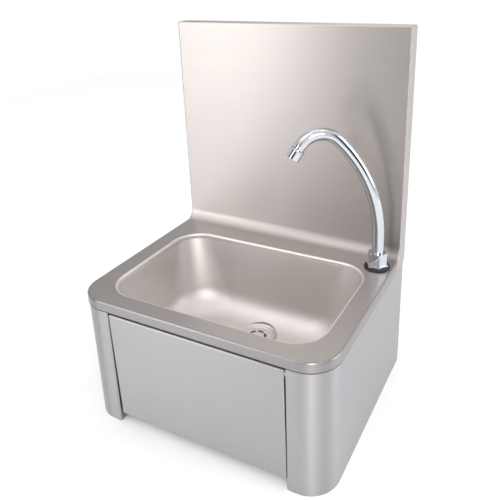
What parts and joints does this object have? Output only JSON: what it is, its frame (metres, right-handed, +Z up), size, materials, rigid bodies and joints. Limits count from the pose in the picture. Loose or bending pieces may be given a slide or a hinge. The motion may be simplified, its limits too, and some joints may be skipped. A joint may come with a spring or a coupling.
{
  "type": "hand wash sink",
  "caption": "Wall-hung hand wash sink of brushed steel with a splashback, a deep rectangular bowl, a swan-neck spout and a front knee panel that works its valve.",
  "frame": {"origin": "middle of the footprint, at the lower edge of the side panels", "axes": "+X to the right of a person who uses the sink, +Y towards the wall, -Y the front with the knee panel, +Z up"},
  "size_m": [0.4, 0.33, 0.57],
  "materials": {
    "sheet_steel": "brushed",
    "turned_steel": "turned",
    "polished_steel": "polished",
    "chrome": "polished",
    "brass": "machined",
    "black_rubber": "matte",
    "white_plastic": "satin"
  },
  "bodies": {
    "sink": {"deck_splashback": "sheet_steel", "bowl": "sheet_steel", "side_panel_left": "sheet_steel", "side_panel_right": "sheet_steel", "rear_crossbar": "sheet_steel", "valve_rail": "sheet_steel", "hinge_pins": "turned_steel", "valve_body": "brass", "valve_cap": "brass", "valve_gland": "brass", "gland_seal": "black_rubber", "return_spring": "turned_steel", "inlet_filters": "white_plastic", "valve_locknut": "brass", "riser_pipe": "chrome", "riser_bottom_nut": "brass", "riser_top_nut": "brass", "riser_olives": "brass", "tap_base": "chrome", "tap_washer": "black_rubber", "tap_clamp_plate": "turned_steel", "tap_back_nut": "brass", "spout_nut": "chrome", "waste_flange": "polished_steel", "waste_seal": "black_rubber", "waste_gasket": "black_rubber", "waste_tail": "white_plastic", "waste_screw": "polished_steel"},
    "knee_panel": {"knee_panel": "sheet_steel", "panel_stiffener": "sheet_steel", "hinge_bushes": "white_plastic"},
    "plunger": {"valve_plunger": "chrome", "seat_washer": "black_rubber", "valve_disc": "brass"},
    "spout": {"spout_bush": "brass", "spout_orings": "black_rubber", "spout_ring": "white_plastic", "spout_tube": "chrome", "aerator_shell": "chrome", "aerator_insert": "white_plastic"}
  },
  "joints": [
    {"name": "knee_panel_swing", "type": "hinge", "parent": "sink", "child": "knee_panel", "pos_m": [0, -0.155, 0.183], "axis": [1, 0, 0], "range_deg": [0, 3.3], "stiffness_Nm_per_rad": 36, "springref_deg": -3.29},
    {"name": "plunger_slide", "type": "slide", "parent": "sink", "child": "plunger", "axis": [0, 1, 0], "range_m": [0, 0.008], "deforming": ["return_spring"]},
    {"name": "spout_swivel", "type": "hinge", "parent": "sink", "child": "spout", "pos_m": [0.175, 0.096, 0.23], "axis": [0, 0, 1], "range_deg": [-40, 160]}
  ],
  "couplings": [
    {"joint": "plunger_slide", "follows": "knee_panel_swing", "m_per_rad": 0.138}
  ]
}
